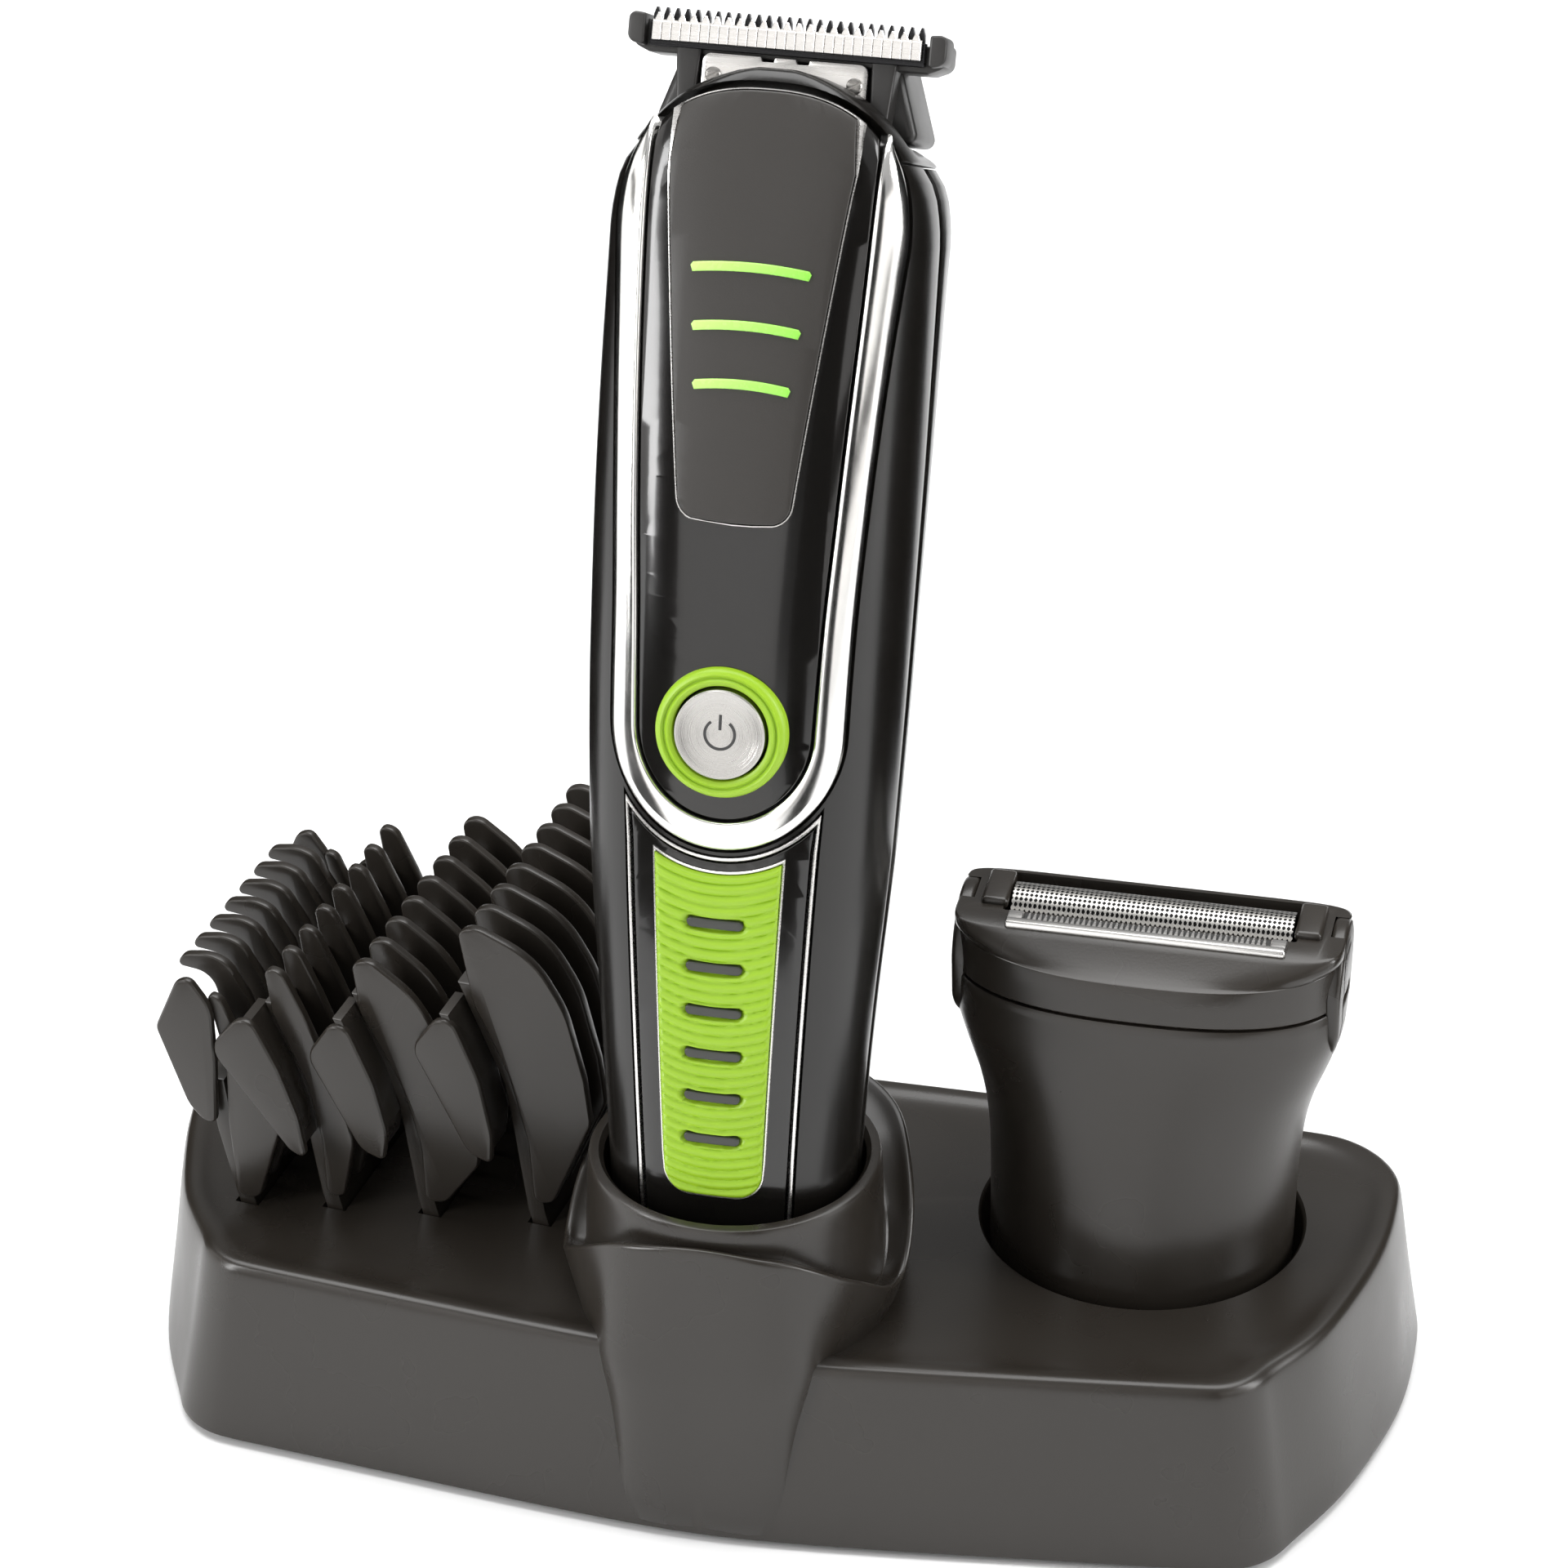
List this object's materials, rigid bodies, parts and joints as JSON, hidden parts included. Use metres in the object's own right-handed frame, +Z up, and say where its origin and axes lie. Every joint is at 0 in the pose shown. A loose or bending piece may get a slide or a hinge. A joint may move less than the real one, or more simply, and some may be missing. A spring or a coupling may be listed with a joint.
{
  "type": "beard trimmer set on a charging stand",
  "caption": "Cordless T-blade beard trimmer in a charging stand, with clip-on guard combs and a foil shaver head.",
  "frame": {"origin": "on the floor under the centre of the stand's footprint", "axes": "+Z up, -Y the front of the stand with the trimmer's button, +X towards the foil head's side of the stand"},
  "size_m": [0.176, 0.078, 0.1931],
  "materials": {
    "satin_charcoal": "satin, fine moulded grain",
    "satin_black": "satin",
    "gloss_black": "high gloss",
    "matte_graphite": "matte",
    "lime_rubber": "soft, ribbed",
    "lime_lens": "gloss, translucent",
    "chrome_plate": "polished",
    "bright_steel": "brushed",
    "dark_steel": "ground",
    "black_moulding": "moulded",
    "black_rubber": "matte",
    "contact_brass": "plated",
    "board_green": "solder mask",
    "cell_sleeve": "shrink sleeve"
  },
  "bodies": {
    "stand": {"stand_housing": "satin_charcoal", "stand_base_plate": "black_moulding", "stand_foot_1": "black_rubber", "stand_foot_2": "black_rubber", "stand_foot_3": "black_rubber", "stand_foot_4": "black_rubber", "base_screw_1": "dark_steel", "base_screw_2": "dark_steel", "base_screw_3": "dark_steel", "base_screw_4": "dark_steel", "stand_circuit_board": "board_green", "charge_pin_left": "contact_brass", "charge_pin_right": "contact_brass", "dc_socket": "black_moulding"},
    "trimmer": {"front_shell": "satin_black", "rear_shell": "satin_black", "bottom_cap": "satin_black", "top_collar": "satin_black", "chrome_trim": "chrome_plate", "upper_fascia": "gloss_black", "upper_panel": "matte_graphite", "accent_bar_1": "lime_lens", "accent_bar_2": "lime_lens", "accent_bar_3": "lime_lens", "button_ring": "lime_rubber", "lower_fascia": "gloss_black", "grip_frame": "bright_steel", "grip_insert": "lime_rubber", "battery": "cell_sleeve", "circuit_board": "board_green", "tactile_switch": "black_moulding", "motor": "dark_steel", "charge_contact_left": "contact_brass", "charge_contact_right": "contact_brass"},
    "button": {"power_button": "bright_steel"},
    "rotor": {"motor_shaft": "dark_steel", "eccentric_cam": "black_moulding"},
    "head": {"head_frame": "black_moulding", "fixed_blade": "dark_steel", "blade_plate": "bright_steel", "plate_screw_left": "dark_steel", "plate_screw_right": "dark_steel", "tension_spring": "dark_steel"},
    "blade": {"moving_blade": "bright_steel", "drive_fork": "black_moulding"},
    "foil_head": {"foil_housing": "satin_charcoal", "foil_cover": "satin_charcoal", "foil": "bright_steel", "trimmer_strip": "bright_steel", "end_cap_left": "satin_charcoal", "end_cap_right": "satin_charcoal"},
    "cutter": {"foil_cutter": "bright_steel"},
    "comb_1": {"comb_1": "satin_charcoal"},
    "comb_2": {"comb_2": "satin_charcoal"},
    "comb_3": {"comb_3": "satin_charcoal"},
    "comb_4": {"comb_4": "satin_charcoal"}
  },
  "joints": [
    {"name": "trimmer_lift", "type": "slide", "parent": "stand", "child": "trimmer", "axis": [0, 0.0663, 0.9978], "range_m": [0, 0.06]},
    {"name": "button_press", "type": "slide", "parent": "trimmer", "child": "button", "axis": [0, 0.9729, -0.2314], "range_m": [0, 0.0005], "stiffness_N_per_m": 300, "springref_m": -0.002},
    {"name": "rotor_spin", "type": "hinge", "parent": "trimmer", "child": "rotor", "pos_m": [0, 0.01828, 0.17984], "axis": [0, 0.432, 0.9019], "continuous": true},
    {"name": "head_release", "type": "slide", "parent": "trimmer", "child": "head", "axis": [0, 0.432, 0.9019], "range_m": [0, 0.02]},
    {"name": "blade_stroke", "type": "slide", "parent": "head", "child": "blade", "axis": [1, 0, 0], "range_m": [-0.0008, 0.0008]},
    {"name": "foil_head_lift", "type": "slide", "parent": "stand", "child": "foil_head", "axis": [0, 0, 1], "range_m": [0, 0.04]},
    {"name": "cutter_stroke", "type": "slide", "parent": "foil_head", "child": "cutter", "axis": [1, 0, 0], "range_m": [-0.001, 0.001]},
    {"name": "comb_1_lift", "type": "slide", "parent": "stand", "child": "comb_1", "axis": [-0.2571, 0.0297, 0.9659], "range_m": [0, 0.03]},
    {"name": "comb_2_lift", "type": "slide", "parent": "stand", "child": "comb_2", "axis": [-0.2571, 0.0297, 0.9659], "range_m": [0, 0.03]},
    {"name": "comb_3_lift", "type": "slide", "parent": "stand", "child": "comb_3", "axis": [-0.2571, 0.0297, 0.9659], "range_m": [0, 0.03]},
    {"name": "comb_4_lift", "type": "slide", "parent": "stand", "child": "comb_4", "axis": [-0.2571, 0.0297, 0.9659], "range_m": [0, 0.03]}
  ]
}
